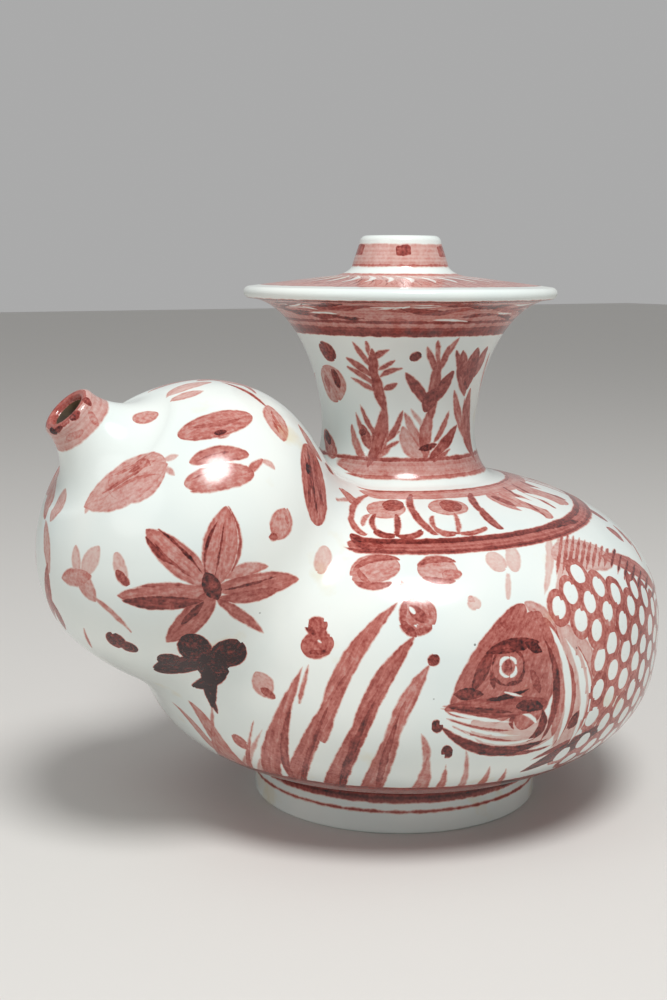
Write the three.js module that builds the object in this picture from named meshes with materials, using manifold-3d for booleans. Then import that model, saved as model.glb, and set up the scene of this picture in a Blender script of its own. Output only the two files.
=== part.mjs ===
// A kendi: a spouted drinking vessel of glazed, painted porcelain. A round, hollow body stands on a foot
// ring and carries a waisted neck under a wide flange, with a short collar for filling. A bulb-shaped spout
// with a small nozzle is luted to the shoulder. It is one fired piece.
// Millimetres, +Z up, spout towards +X, origin on the ground at the middle of the bounding box.
import * as THREE from "three";
import { mergeVertices } from "three/addons/utils/BufferGeometryUtils.js";
import Module from "manifold-3d";

const wasm = await Module();
wasm.setup();

// Body: two superellipse quarters that meet at the widest line. A fullness of 2 is an ellipse, more is squarer.
const bodyRadius = 79.2;
const bodyMiddle = 55.2;
const bellyDrop = 46;
const bellyFullness = 2.7;
const shoulderRise = 45;
const shoulderFullness = 2.3;
const bodyWall = 5;

// Foot ring
const footRadius = 43.4;
const footWidth = 5.6;
const footRecess = 7.5;
const footEdge = 0.9;

// Neck: narrowest at the waist, spreading below onto the shoulder and above into the flange
const neckRadius = 23.1;
const neckWaistHeight = 112;
const neckSpread = 7;
const neckWall = 4.4;
const flareFullness = 1.87;

// Flange under the collar: a flat cone with a half-round rim
const flangeRadius = 46.5;
const flangeHeight = 152.4;
const flangeEdge = 3.5;
const flangeSlope = 0.126;
const flangeWall = 4.6;

// Collar around the mouth
const collarHeight = 169;
const collarRadius = 12.1;
const collarTaper = 2;
const collarLength = 6;
const collarSpread = 8;
const mouthRadius = 8;

// Spout: an egg-shaped bulb turned about its own leaning axis and drawn out to a nozzle
const spoutElevation = THREE.MathUtils.degToRad(45);
const bulbReach = 73.5;
const bulbHeight = 89.5;
const bulbRadius = 43.3;
const bulbFront = 35;
const bulbFrontFullness = 2;
const bulbBack = 56;
const bulbBackFullness = 1.9;
const spoutWall = 4.4;
const nozzleRadius = 7.8;
const nozzleRoot = 22;
const nozzleLength = 15.6;
const nozzleFullness = 1.65;
const nozzleBore = 4.6;

// Width of the soft joint where the bulb is luted to the shoulder
const jointWidth = 11;

// Facets around each turned form, and straight steps along each curve of its profile
const bodySides = 56;
const hollowSides = 28;
const bulbSides = 40;
const bulbHollowSides = 24;
const outsideSteps = { belly: 7, shoulder: 11, neckFoot: 4, flare: 7, fillet: 4, back: 8, front: 6, nozzle: 5 };
const hollowSteps = { belly: 6, shoulder: 6, neckFoot: 3, flare: 5, back: 6, front: 4, nozzle: 3 };
const halfRoundSteps = 4;

// Fullness of a plain ellipse, and how far a hollow is cut past its mouth
const elliptic = 2;
const overshoot = 4;

// Sizes that follow from the ones above
const neckFoot = neckRadius + neckSpread;
const neckFootHeight = bodyMiddle + riseAt(bodyRadius, shoulderRise, shoulderFullness, neckFoot);
const rimRound = flangeEdge / 2;
const rimStart = flangeRadius - rimRound;
const flangeUnderside = flangeHeight - rimRound;
const collarFoot = collarRadius + collarTaper;
const lipRound = (collarRadius - mouthRadius) / 2;
const lipHeight = collarHeight - lipRound;
const collarBase = lipHeight - collarLength;
const nozzleRound = (nozzleRadius - nozzleBore) / 2;
const nozzleStart = riseAt(bulbRadius, bulbFront, bulbFrontFullness, nozzleRoot);
const nozzleTip = nozzleStart + nozzleLength;

/** Height of a superellipse's quarter over its widest line, at radius r. */
function riseAt(radius, rise, fullness, r) {
  return rise * (1 - (r / radius) ** fullness) ** (1 / fullness);
}

/** Height of the flange's upper side at radius r. */
function flangeTopAt(r) {
  return flangeHeight + rimRound + flangeSlope * (rimStart - r);
}

/** The point at a share from 0 to 1 of a quarter curve that leaves a upright and arrives at b level. */
function quarterPoint(a, b, fullness, share) {
  const angle = (Math.PI / 2) * share;
  const across = Math.max(Math.cos(angle), 0) ** (2 / fullness);
  const up = Math.max(Math.sin(angle), 0) ** (2 / fullness);
  return [b[0] + (a[0] - b[0]) * across, a[1] + (b[1] - a[1]) * up];
}

/** Points of that curve from one share to another. */
function quarter(a, b, fullness, steps, from = 0, to = 1) {
  return Array.from({ length: steps + 1 }, (_, i) => (
    quarterPoint(a, b, fullness, from + ((to - from) * i) / steps)
  ));
}

/** The share at which a quarter curve that closes on the axis has come in to radius r. */
function shareAt(radius, fullness, r) {
  return Math.acos((r / radius) ** (fullness / 2)) / (Math.PI / 2);
}

/** Points of a half-round edge, from its start angle through half a turn anticlockwise. */
function halfRound(radius, height, round, startAngle) {
  return Array.from({ length: halfRoundSteps + 1 }, (_, i) => {
    const angle = startAngle + (Math.PI * i) / halfRoundSteps;
    return [radius + round * Math.cos(angle), height + round * Math.sin(angle)];
  });
}

/** The outside of the body, neck, flange and collar, closed across the mouth. */
function vesselOutside() {
  const footInside = footRadius - footWidth;
  const widest = [bodyRadius, bodyMiddle];
  const waist = [neckRadius, neckWaistHeight];
  const collarCorner = [collarFoot, collarBase];
  const filletEdge = collarFoot + collarSpread;
  const filletFoot = [filletEdge, flangeTopAt(filletEdge)];
  const bellyBottom = [0, bodyMiddle - bellyDrop];
  const shoulderTop = [0, bodyMiddle + shoulderRise];
  const bellyEnd = shareAt(bodyRadius, bellyFullness, footRadius);
  const shoulderEnd = shareAt(bodyRadius, shoulderFullness, neckFoot);
  return [
    [0, footRecess],
    [footInside - footEdge, footRecess],
    [footInside, footRecess - footEdge],
    [footInside, footEdge],
    [footInside + footEdge, 0],
    [footRadius - footEdge, 0],
    [footRadius, footEdge],
    ...quarter(widest, bellyBottom, bellyFullness, outsideSteps.belly, bellyEnd, 0),
    ...quarter(widest, shoulderTop, shoulderFullness, outsideSteps.shoulder, 0, shoulderEnd).slice(1),
    ...quarter(waist, [neckFoot, neckFootHeight], elliptic, outsideSteps.neckFoot, 1, 0).slice(1),
    ...quarter(waist, [rimStart, flangeUnderside], flareFullness, outsideSteps.flare).slice(1),
    ...halfRound(rimStart, flangeHeight, rimRound, -Math.PI / 2).slice(1),
    ...quarter(collarCorner, filletFoot, elliptic, outsideSteps.fillet, 1, 0),
    ...halfRound(mouthRadius + lipRound, lipHeight, lipRound, 0),
    [0, lipHeight],
  ];
}

/** The share of the flare inside the neck at which it meets the underside of the flange's top. */
function flareMeetsCeiling(waist, edge) {
  let low = 0;
  let high = 1;
  while (high - low > 1e-9) {
    const middle = (low + high) / 2;
    const [r, z] = quarterPoint(waist, edge, flareFullness, middle);
    if (z < flangeTopAt(r) - flangeWall) low = middle;
    else high = middle;
  }
  return low;
}

/** The hollow of the body, neck and flange, carried up through the mouth. */
function vesselHollow() {
  const widest = [bodyRadius - bodyWall, bodyMiddle];
  const bellyBottom = [0, bodyMiddle - bellyDrop + bodyWall];
  const shoulderTop = [0, bodyMiddle + shoulderRise - bodyWall];
  const waist = [neckRadius - neckWall, neckWaistHeight];
  const neckFootInside = neckFoot - neckWall;
  const innerRise = riseAt(widest[0], shoulderRise - bodyWall, shoulderFullness, neckFootInside);
  const flangeEdgeInside = [rimStart, flangeUnderside + neckWall];
  const shoulderEnd = shareAt(widest[0], shoulderFullness, neckFootInside);
  const flareEnd = flareMeetsCeiling(waist, flangeEdgeInside);
  const ceiling = flangeTopAt(mouthRadius) - flangeWall;
  return [
    ...quarter(widest, bellyBottom, bellyFullness, hollowSteps.belly, 1, 0),
    ...quarter(widest, shoulderTop, shoulderFullness, hollowSteps.shoulder, 0, shoulderEnd).slice(1),
    ...quarter(waist, [neckFootInside, bodyMiddle + innerRise], elliptic, hollowSteps.neckFoot, 1, 0).slice(1),
    ...quarter(waist, flangeEdgeInside, flareFullness, hollowSteps.flare, 0, flareEnd).slice(1),
    [mouthRadius + lipRound, ceiling],
    [mouthRadius, ceiling + lipRound],
    [mouthRadius, collarHeight + overshoot],
    [0, collarHeight + overshoot],
  ];
}

/** The outside of the spout about its own axis, with the bulb's widest line at zero. */
function spoutOutside() {
  const widest = [bulbRadius, 0];
  const tip = [nozzleRadius, nozzleTip];
  const frontEnd = shareAt(bulbRadius, bulbFrontFullness, nozzleRoot);
  return [
    ...quarter(widest, [0, -bulbBack], bulbBackFullness, outsideSteps.back, 1, 0),
    ...quarter(widest, [0, bulbFront], bulbFrontFullness, outsideSteps.front, 0, frontEnd).slice(1),
    ...quarter(tip, [nozzleRoot, nozzleStart], nozzleFullness, outsideSteps.nozzle, 1, 0).slice(1),
    ...halfRound(nozzleBore + nozzleRound, nozzleTip, nozzleRound, 0).slice(1),
    [0, nozzleTip],
  ];
}

/** The hollow of the bulb and the nozzle's bore, carried out past the lip. */
function spoutHollow() {
  const widest = [bulbRadius - spoutWall, 0];
  const front = bulbFront - spoutWall;
  const root = nozzleRoot - spoutWall;
  const boreStart = [nozzleBore, nozzleStart + nozzleLength / 2 - nozzleRound];
  const rootHeight = riseAt(widest[0], front, bulbFrontFullness, root);
  const frontEnd = shareAt(widest[0], bulbFrontFullness, root);
  return [
    ...quarter(widest, [0, spoutWall - bulbBack], bulbBackFullness, hollowSteps.back, 1, 0),
    ...quarter(widest, [0, front], bulbFrontFullness, hollowSteps.front, 0, frontEnd).slice(1),
    ...quarter(boreStart, [root, rootHeight], nozzleFullness, hollowSteps.nozzle, 1, 0).slice(1),
    [nozzleBore, nozzleTip + nozzleRound + overshoot],
    [0, nozzleTip + nozzleRound + overshoot],
  ];
}

/** Turns a profile of [radius, height] points into a mesh with shared vertices. */
function turned(profile, sides) {
  const points = profile.map(([r, z]) => new THREE.Vector2(r, z));
  const geometry = new THREE.LatheGeometry(points, sides).rotateX(Math.PI / 2);
  geometry.deleteAttribute("normal");
  geometry.deleteAttribute("uv");
  return mergeVertices(geometry);
}

/** Turns a spout's profile and leans it out over the shoulder. */
function turnedSpout(profile, sides) {
  return turned(profile, sides).rotateY(Math.PI / 2 - spoutElevation).translate(bulbReach, 0, bulbHeight);
}

/** Rough distance from the surface of two superellipse quarters, at a place beside and along their axis. */
function distanceFrom(across, along, radius, length, fullness) {
  const u = across / radius;
  const v = Math.abs(along) / length;
  const size = (u ** fullness + v ** fullness) ** (1 / fullness);
  const slope = Math.hypot(u ** (fullness - 1) / radius, v ** (fullness - 1) / length);
  return ((size - 1) * size ** (fullness - 1)) / slope;
}

function distanceToBulb(point) {
  const out = point.x - bulbReach;
  const up = point.z - bulbHeight;
  const along = out * Math.cos(spoutElevation) + up * Math.sin(spoutElevation);
  const across = Math.hypot(up * Math.cos(spoutElevation) - out * Math.sin(spoutElevation), point.y);
  return along > 0
    ? distanceFrom(across, along, bulbRadius, bulbFront, bulbFrontFullness)
    : distanceFrom(across, along, bulbRadius, bulbBack, bulbBackFullness);
}

function distanceToBody(point) {
  const across = Math.hypot(point.x, point.y);
  const along = point.z - bodyMiddle;
  return along > 0
    ? distanceFrom(across, along, bodyRadius, shoulderRise, shoulderFullness)
    : distanceFrom(across, along, bodyRadius, bellyDrop, bellyFullness);
}

/** Swells a skin towards the other form, so that the two run into each other in a soft hollow. */
function luted(geometry, distanceToOther) {
  geometry.computeVertexNormals();
  const { position, normal } = geometry.attributes;
  const point = new THREE.Vector3();
  const outward = new THREE.Vector3();
  const most = jointWidth / 4;
  for (let i = 0; i < position.count; i++) {
    point.fromBufferAttribute(position, i);
    outward.fromBufferAttribute(normal, i);
    const gap = THREE.MathUtils.clamp(distanceToOther(point), -most, jointWidth);
    const swelling = gap > most ? (Math.sqrt(jointWidth) - Math.sqrt(gap)) ** 2 : Math.min(most, most + gap);
    point.addScaledVector(outward, swelling);
    position.setXYZ(i, point.x, point.y, point.z);
  }
  geometry.deleteAttribute("normal");
  return geometry;
}

/** A solid for joining and cutting, from a mesh with shared vertices. */
function solid(geometry) {
  const index = geometry.index.array;
  const triVerts = [];
  for (let i = 0; i < index.length; i += 3) {
    const [a, b, c] = index.slice(i, i + 3);
    if (a !== b && b !== c && c !== a) triVerts.push(a, b, c);
  }
  return new wasm.Manifold(new wasm.Mesh({
    numProp: 3,
    vertProperties: new Float32Array(geometry.attributes.position.array),
    triVerts: new Uint32Array(triVerts),
  }));
}

/** A mesh of its own from a joined and cut solid. */
function geometryOf(manifold) {
  const { numProp, vertProperties, triVerts } = manifold.getMesh();
  const geometry = new THREE.BufferGeometry();
  const position = new Float32Array((vertProperties.length / numProp) * 3);
  for (let i = 0; i < position.length / 3; i++) {
    position.set(vertProperties.slice(i * numProp, i * numProp + 3), i * 3);
  }
  geometry.setAttribute("position", new THREE.BufferAttribute(position, 3));
  geometry.setIndex(new THREE.BufferAttribute(new Uint32Array(triVerts), 1));
  geometry.computeVertexNormals();
  return geometry;
}

const outside = solid(luted(turned(vesselOutside(), bodySides), distanceToBulb))
  .add(solid(luted(turnedSpout(spoutOutside(), bulbSides), distanceToBody)));
const hollow = solid(turned(vesselHollow(), hollowSides))
  .add(solid(turnedSpout(spoutHollow(), bulbHollowSides)));
const geometry = geometryOf(outside.subtract(hollow));
geometry.computeBoundingBox();

const glaze = new THREE.MeshStandardMaterial({ color: 0xdfe3df, roughness: 0.18, metalness: 0 });
const kendi = new THREE.Mesh(geometry, glaze);
kendi.name = "kendi";
kendi.position.x = -(geometry.boundingBox.min.x + geometry.boundingBox.max.x) / 2;

const group = new THREE.Group();
group.add(kendi);

export default group;
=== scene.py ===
# A kendi of white porcelain, painted under the glaze in copper red: leaves and blossoms on the bulb of the
# spout, a lotus band on the shoulder, water weeds and two fish on the body, and sprays on the neck.
import math
import random

import bpy
import numpy as np
from mathutils import Matrix, Vector


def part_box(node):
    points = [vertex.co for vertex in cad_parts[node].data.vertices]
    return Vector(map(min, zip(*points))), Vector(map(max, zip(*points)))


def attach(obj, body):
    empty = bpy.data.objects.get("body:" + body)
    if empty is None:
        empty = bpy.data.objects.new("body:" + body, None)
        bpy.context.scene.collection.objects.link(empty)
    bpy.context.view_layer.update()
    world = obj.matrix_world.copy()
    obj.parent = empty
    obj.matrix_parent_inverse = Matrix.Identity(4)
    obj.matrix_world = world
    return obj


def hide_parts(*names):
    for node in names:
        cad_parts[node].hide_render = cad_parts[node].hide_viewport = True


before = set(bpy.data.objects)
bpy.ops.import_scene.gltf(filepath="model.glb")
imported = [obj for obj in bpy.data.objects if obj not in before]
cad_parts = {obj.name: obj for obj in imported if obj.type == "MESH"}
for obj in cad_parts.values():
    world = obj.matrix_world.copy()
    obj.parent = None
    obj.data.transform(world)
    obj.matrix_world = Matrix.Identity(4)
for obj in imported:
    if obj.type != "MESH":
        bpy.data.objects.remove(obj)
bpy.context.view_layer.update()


# Sizes of the vessel in millimetres, as its solid has them
MM = 0.001
BODY_RADIUS = 79.2
BODY_MIDDLE = 55.2
BELLY_DROP, BELLY_FULLNESS = 46.0, 2.7
SHOULDER_RISE, SHOULDER_FULLNESS = 45.0, 2.3
BODY_WALL = 5.0
FOOT_RADIUS, FOOT_WIDTH, FOOT_RECESS = 43.4, 5.6, 7.5
FOOT_EDGE = 0.9
NECK_RADIUS, NECK_WAIST, NECK_SPREAD, NECK_WALL = 23.1, 112.0, 7.0, 4.4
FLARE_FULLNESS = 1.87
FLANGE_RADIUS, FLANGE_HEIGHT, FLANGE_EDGE, FLANGE_SLOPE = 46.5, 152.4, 3.5, 0.126
FLANGE_WALL = 4.6
COLLAR_HEIGHT, COLLAR_RADIUS, COLLAR_TAPER, COLLAR_LENGTH, COLLAR_SPREAD = 169.0, 12.1, 2.0, 6.0, 8.0
MOUTH_RADIUS = 8.0
SPOUT_LEAN = math.radians(45)
BULB_REACH, BULB_HEIGHT, BULB_RADIUS = 73.5, 89.5, 43.3
BULB_FRONT, BULB_FRONT_FULLNESS = 35.0, 2.0
BULB_BACK, BULB_BACK_FULLNESS = 56.0, 1.9
SPOUT_WALL = 4.4
NOZZLE_RADIUS, NOZZLE_ROOT, NOZZLE_LENGTH, NOZZLE_FULLNESS, NOZZLE_BORE = 7.8, 22.0, 15.6, 1.65, 4.6
JOINT_WIDTH, SEAM_WIDTH, SEAM_TURNS = 11.0, 3.5, 24
OVERSHOOT = 4.0

# The vessel's own axis stands one body radius in from the end of the box that is away from the spout
VESSEL_X = float(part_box("kendi")[0][0]) / MM + BODY_RADIUS

# The photo's camera, in its own 667 x 1000 frame, with the vessel's axis as origin
IMAGE_WIDTH, IMAGE_HEIGHT = 667, 1000
FOCAL_PIXELS = 1463.0
SENSOR = 36.0
CAMERA_ASIDE, CAMERA_AWAY, CAMERA_HEIGHT = -19.4, 440.0, 161.5
CAMERA_TURN = math.radians(147)
CAMERA_PITCH = 0.162
CAMERA_ROLL = 0.0055
# A line of sight starts this far out and is followed in steps until it is this close to the glaze, in mm
FIRST_REACH, SIGHT_STEPS, SIGHT_CLOSE = 300.0, 90, 0.02
# Pixels to a millimetre that a mark keeps where it is seen at a low angle
LEAST_SCALE = 1.2


def camera_stance():
    """The camera's place and its right, up and forward directions."""
    right = np.array([math.cos(CAMERA_TURN), math.sin(CAMERA_TURN), 0.0])
    level = np.array([-math.sin(CAMERA_TURN), math.cos(CAMERA_TURN), 0.0])
    place = right * CAMERA_ASIDE - level * CAMERA_AWAY
    place = place + np.array([VESSEL_X, 0.0, CAMERA_HEIGHT])
    forward = level * math.cos(CAMERA_PITCH) - np.array([0.0, 0.0, math.sin(CAMERA_PITCH)])
    up = np.cross(right, forward)
    cosine, sine = math.cos(CAMERA_ROLL), math.sin(CAMERA_ROLL)
    return place, cosine * right + sine * up, cosine * up - sine * right, forward


CAMERA_PLACE, CAMERA_RIGHT, CAMERA_UP, CAMERA_FORWARD = camera_stance()


def make_camera():
    data = bpy.data.cameras.new("photo_camera")
    data.sensor_width = SENSOR
    data.lens = FOCAL_PIXELS * SENSOR / IMAGE_HEIGHT
    data.clip_start = 0.01
    camera = bpy.data.objects.new("photo_camera", data)
    bpy.context.scene.collection.objects.link(camera)
    matrix = Matrix((CAMERA_RIGHT, CAMERA_UP, -CAMERA_FORWARD)).transposed().to_4x4()
    matrix.translation = Vector(CAMERA_PLACE * MM)
    camera.matrix_world = matrix
    bpy.context.scene.camera = camera


# Profiles of the turned forms, as (radius, height) points

def quarter(a, b, fullness, steps=40, start=0.0, end=1.0):
    """Points of a superellipse's quarter that leaves a upright and arrives at b level."""
    angle = np.linspace(start, end, steps + 1) * math.pi / 2
    across = np.clip(np.cos(angle), 0, None) ** (2 / fullness)
    up = np.clip(np.sin(angle), 0, None) ** (2 / fullness)
    return [(b[0] + (a[0] - b[0]) * c, a[1] + (b[1] - a[1]) * s) for c, s in zip(across, up)]


def share_at(radius, fullness, r):
    """The share of a quarter that closes on the axis at which it has come in to radius r."""
    return math.acos((r / radius) ** (fullness / 2)) / (math.pi / 2)


def rise_at(radius, rise, fullness, r):
    return rise * (1 - (r / radius) ** fullness) ** (1 / fullness)


def half_round(radius, height, size, start):
    angle = start + np.linspace(0, math.pi, 13)
    return [(radius + size * math.cos(a), height + size * math.sin(a)) for a in angle]


def evened(points, step):
    """The same line with its points about a step apart, and both ends kept."""
    points = np.array(points, float)
    run = np.concatenate([[0], np.cumsum(np.hypot(*np.diff(points, axis=0).T))])
    count = max(int(round(run[-1] / step)), 1)
    places = np.linspace(0, run[-1], count + 1)
    return list(zip(np.interp(places, run, points[:, 0]), np.interp(places, run, points[:, 1])))


def chained(*sections):
    """One profile from sections of (points, step) that meet end to end."""
    line = []
    for points, step in sections:
        even = evened(points, step)
        line += even[1:] if line else even
    return line


def flange_top(r):
    return FLANGE_HEIGHT + FLANGE_EDGE / 2 + FLANGE_SLOPE * (FLANGE_RADIUS - FLANGE_EDGE / 2 - r)


NECK_FOOT = NECK_RADIUS + NECK_SPREAD
NECK_FOOT_HEIGHT = BODY_MIDDLE + rise_at(BODY_RADIUS, SHOULDER_RISE, SHOULDER_FULLNESS, NECK_FOOT)
RIM_ROUND = FLANGE_EDGE / 2
RIM_START = FLANGE_RADIUS - RIM_ROUND
LIP_ROUND = (COLLAR_RADIUS - MOUTH_RADIUS) / 2
LIP_HEIGHT = COLLAR_HEIGHT - LIP_ROUND
NOZZLE_ROUND = (NOZZLE_RADIUS - NOZZLE_BORE) / 2
NOZZLE_START = rise_at(BULB_RADIUS, BULB_FRONT, BULB_FRONT_FULLNESS, NOZZLE_ROOT)
NOZZLE_TIP = NOZZLE_START + NOZZLE_LENGTH


def vessel_outside():
    """Foot ring, body, neck, flange and collar, closed across the mouth."""
    inside = FOOT_RADIUS - FOOT_WIDTH
    widest, waist = (BODY_RADIUS, BODY_MIDDLE), (NECK_RADIUS, NECK_WAIST)
    belly_start = share_at(BODY_RADIUS, BELLY_FULLNESS, FOOT_RADIUS + 1.2)
    belly = quarter(widest, (0, BODY_MIDDLE - BELLY_DROP), BELLY_FULLNESS, 60, belly_start, 0)
    shoulder_end = share_at(BODY_RADIUS, SHOULDER_FULLNESS, NECK_FOOT)
    shoulder = quarter(widest, (0, BODY_MIDDLE + SHOULDER_RISE), SHOULDER_FULLNESS, 60, 0, shoulder_end)
    crook = quarter((FOOT_RADIUS, belly[0][1] - 1.6), belly[0], 2, 6)
    collar_foot, collar_base = COLLAR_RADIUS + COLLAR_TAPER, LIP_HEIGHT - COLLAR_LENGTH
    fillet_edge = collar_foot + COLLAR_SPREAD
    fillet = quarter((collar_foot, collar_base), (fillet_edge, flange_top(fillet_edge)), 2, 20, 1, 0)
    rim = half_round(RIM_START, FLANGE_HEIGHT, RIM_ROUND, -math.pi / 2)
    lip = half_round(MOUTH_RADIUS + LIP_ROUND, LIP_HEIGHT, LIP_ROUND, 0)
    return chained(
        ([(0, FOOT_RECESS), (inside - 2, FOOT_RECESS)], 6),
        (quarter((inside, FOOT_RECESS - 2), (inside - 2, FOOT_RECESS), 2, 8, 1, 0), 0.8),
        ([(inside, FOOT_RECESS - 2), (inside, FOOT_EDGE)], 2),
        (quarter((inside, FOOT_EDGE), (inside + FOOT_EDGE, 0), 2, 8), 0.3),
        ([(inside + FOOT_EDGE, 0), (FOOT_RADIUS - FOOT_EDGE, 0)], 1.3),
        (quarter((FOOT_RADIUS, FOOT_EDGE), (FOOT_RADIUS - FOOT_EDGE, 0), 2, 8, 1, 0), 0.3),
        ([(FOOT_RADIUS, FOOT_EDGE), (FOOT_RADIUS, crook[0][1])], 1.5),
        (crook, 0.5),
        (belly, 1.9),
        (shoulder, 1.9),
        (quarter(waist, (NECK_FOOT, NECK_FOOT_HEIGHT), 2, 30, 1, 0), 1.2),
        (quarter(waist, (RIM_START, FLANGE_HEIGHT - RIM_ROUND), FLARE_FULLNESS, 60), 1.6),
        (rim, 0.45),
        ([(RIM_START, flange_top(RIM_START)), (fillet_edge, flange_top(fillet_edge))], 1.6),
        (fillet, 0.9),
        ([(collar_foot, collar_base), (COLLAR_RADIUS, LIP_HEIGHT)], 1.2),
        (lip, 0.5),
        ([(MOUTH_RADIUS, LIP_HEIGHT), (0, LIP_HEIGHT)], 4),
    )


def vessel_hollow():
    """The hollow of body, neck and flange, carried up through the mouth."""
    widest, waist = (BODY_RADIUS - BODY_WALL, BODY_MIDDLE), (NECK_RADIUS - NECK_WALL, NECK_WAIST)
    floor = BODY_MIDDLE - BELLY_DROP + BODY_WALL
    top = BODY_MIDDLE + SHOULDER_RISE - BODY_WALL
    foot = NECK_FOOT - NECK_WALL
    foot_height = BODY_MIDDLE + rise_at(widest[0], SHOULDER_RISE - BODY_WALL, SHOULDER_FULLNESS, foot)
    shoulder_end = share_at(widest[0], SHOULDER_FULLNESS, foot)
    flare = quarter(waist, (RIM_START, FLANGE_HEIGHT - RIM_ROUND + NECK_WALL), FLARE_FULLNESS, 60)
    flare = [point for point in flare if point[1] < flange_top(point[0]) - FLANGE_WALL]
    ceiling = flange_top(MOUTH_RADIUS) - FLANGE_WALL
    return chained(
        (quarter(widest, (0, floor), BELLY_FULLNESS, 40, 1, 0), 5),
        (quarter(widest, (0, top), SHOULDER_FULLNESS, 40, 0, shoulder_end), 5),
        (quarter(waist, (foot, foot_height), 2, 20, 1, 0), 4),
        (flare, 4),
        ([flare[-1], (MOUTH_RADIUS + LIP_ROUND, ceiling)], 4),
        (quarter((MOUTH_RADIUS, ceiling + LIP_ROUND), (MOUTH_RADIUS + LIP_ROUND, ceiling), 2, 8, 1, 0), 0.8),
        ([(MOUTH_RADIUS, ceiling + LIP_ROUND), (MOUTH_RADIUS, COLLAR_HEIGHT + OVERSHOOT)], 3),
        ([(MOUTH_RADIUS, COLLAR_HEIGHT + OVERSHOOT), (0, COLLAR_HEIGHT + OVERSHOOT)], 4),
    )


def spout_outside():
    """Bulb and nozzle about their own axis, with the bulb's widest line at zero."""
    widest = (BULB_RADIUS, 0)
    front_end = share_at(BULB_RADIUS, BULB_FRONT_FULLNESS, NOZZLE_ROOT)
    tip, root = (NOZZLE_RADIUS, NOZZLE_TIP), (NOZZLE_ROOT, NOZZLE_START)
    return chained(
        (quarter(widest, (0, -BULB_BACK), BULB_BACK_FULLNESS, 60, 1, 0), 1.9),
        (quarter(widest, (0, BULB_FRONT), BULB_FRONT_FULLNESS, 40, 0, front_end), 1.7),
        (quarter(tip, root, NOZZLE_FULLNESS, 40, 1, 0), 0.9),
        (half_round(NOZZLE_BORE + NOZZLE_ROUND, NOZZLE_TIP, NOZZLE_ROUND, 0), 0.4),
        ([(NOZZLE_BORE, NOZZLE_TIP), (0, NOZZLE_TIP)], 3),
    )


def spout_hollow():
    radius, front, root = BULB_RADIUS - SPOUT_WALL, BULB_FRONT - SPOUT_WALL, NOZZLE_ROOT - SPOUT_WALL
    bore = (NOZZLE_BORE, NOZZLE_START + NOZZLE_LENGTH / 2 - NOZZLE_ROUND)
    inner_root = (root, rise_at(radius, front, BULB_FRONT_FULLNESS, root))
    end = NOZZLE_TIP + NOZZLE_ROUND + OVERSHOOT
    return chained(
        (quarter((radius, 0), (0, SPOUT_WALL - BULB_BACK), BULB_BACK_FULLNESS, 40, 1, 0), 5),
        (quarter((radius, 0), (0, front), 2, 40, 0, share_at(radius, BULB_FRONT_FULLNESS, root)), 4),
        (quarter(bore, inner_root, NOZZLE_FULLNESS, 20, 1, 0), 1.5),
        ([bore, (NOZZLE_BORE, end)], 2),
        ([(NOZZLE_BORE, end), (0, end)], 3),
    )


VESSEL_PROFILE = np.array(vessel_outside())
SPOUT_PROFILE = np.array(spout_outside())

# Directions of the spout: along its axis, up beside it and level beside it
SPOUT_ALONG = np.array([math.cos(SPOUT_LEAN), 0.0, math.sin(SPOUT_LEAN)])
SPOUT_UP = np.array([-math.sin(SPOUT_LEAN), 0.0, math.cos(SPOUT_LEAN)])
SPOUT_SIDE = np.array([0.0, 1.0, 0.0])
BULB_CENTRE = np.array([VESSEL_X + BULB_REACH, 0.0, BULB_HEIGHT])


def about_vessel(points):
    """Radius and height of points about the vessel's axis."""
    return np.hypot(points[:, 0] - VESSEL_X, points[:, 1]), points[:, 2]


def about_spout(points):
    away = points - BULB_CENTRE
    return np.hypot(away @ SPOUT_UP, away @ SPOUT_SIDE), away @ SPOUT_ALONG


def beside(profile, radius, height, chunk=6000):
    """Distance from a turned form's profile, negative inside, and the run along the profile at that place."""
    start, end = profile[:-1], profile[1:]
    step = end - start
    length = np.hypot(*step.T)
    run = np.concatenate([[0], np.cumsum(length)])[:-1]
    gaps, runs = np.empty(len(radius)), np.empty(len(radius))
    for first in range(0, len(radius), chunk):
        place = np.stack([radius[first:first + chunk], height[first:first + chunk]], 1)[:, None]
        share = np.clip(((place - start) * step).sum(2) / length ** 2, 0, 1)
        away = np.hypot(*(place - start - share[..., None] * step).transpose(2, 0, 1))
        near = away.argmin(1)
        rows = np.arange(len(near))
        low, high = np.minimum(start[:, 1], end[:, 1]), np.maximum(start[:, 1], end[:, 1])
        across = (place[..., 1] >= low) & (place[..., 1] < high)
        rise = np.where(step[:, 1] == 0, 1, step[:, 1])
        at = start[:, 0] + step[:, 0] * (place[..., 1] - start[:, 1]) / rise
        within = (across & (at > place[..., 0])).sum(1) % 2 == 1
        gaps[first:first + chunk] = np.where(within, -1, 1) * away[rows, near]
        runs[first:first + chunk] = run[near] + share[rows, near] * length[near]
    return gaps, runs


def gaps_at(points):
    """Distances of points from the vessel's and the spout's own outsides."""
    return beside(VESSEL_PROFILE, *about_vessel(points))[0], beside(SPOUT_PROFILE, *about_spout(points))[0]


def luted_gap(points):
    """Distance from the outside with the bulb luted softly to the shoulder."""
    vessel, spout = gaps_at(points)
    blend = np.clip(JOINT_WIDTH - np.abs(vessel - spout), 0, None)
    return np.minimum(vessel, spout) - blend ** 2 / (4 * JOINT_WIDTH)


def slope_at(points, nudge=0.2):
    """How the luted gap grows along X, Y and Z, felt over a small nudge in mm."""
    steps = np.eye(3) * nudge
    return np.stack([luted_gap(points + step) - luted_gap(points - step) for step in steps], 1) / (2 * nudge)


# Meshes

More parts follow.
